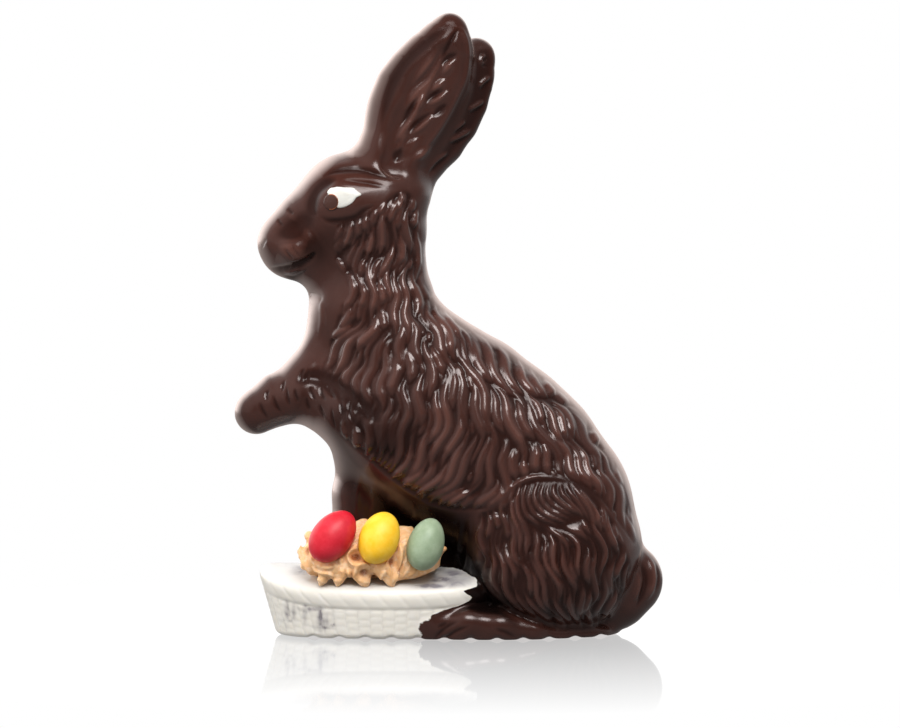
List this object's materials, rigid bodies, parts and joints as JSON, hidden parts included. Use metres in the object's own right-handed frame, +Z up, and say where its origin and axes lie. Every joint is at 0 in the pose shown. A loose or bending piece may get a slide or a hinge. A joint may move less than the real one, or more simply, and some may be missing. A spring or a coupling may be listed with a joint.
{
  "type": "chocolate easter bunny",
  "caption": "Moulded dark chocolate rabbit sitting up behind a white chocolate basket, with piped cream and sugar-coated eggs, standing on its own flat plinth.",
  "frame": {"origin": "on the ground, in the plane of the mould joint, under the middle of the figure's length", "axes": "+Z up, -X the way the rabbit faces, Y across the figure, -Y the side with the eggs"},
  "size_m": [0.1524, 0.0721, 0.2202],
  "materials": {
    "dark_chocolate": "satin gloss moulded dark chocolate",
    "white_chocolate": "satin moulded white chocolate",
    "praline_cream": "set piped praline cream",
    "sugar_red": "satin sugar coating",
    "sugar_yellow": "satin sugar coating",
    "sugar_green": "satin sugar coating"
  },
  "bodies": {
    "root": {"chocolate_bunny": "dark_chocolate", "basket": "white_chocolate", "eye_white_left": "white_chocolate", "eye_white_right": "white_chocolate", "piped_cream": "praline_cream", "egg_red": "sugar_red", "egg_yellow": "sugar_yellow", "egg_green": "sugar_green"}
  },
  "joints": []
}
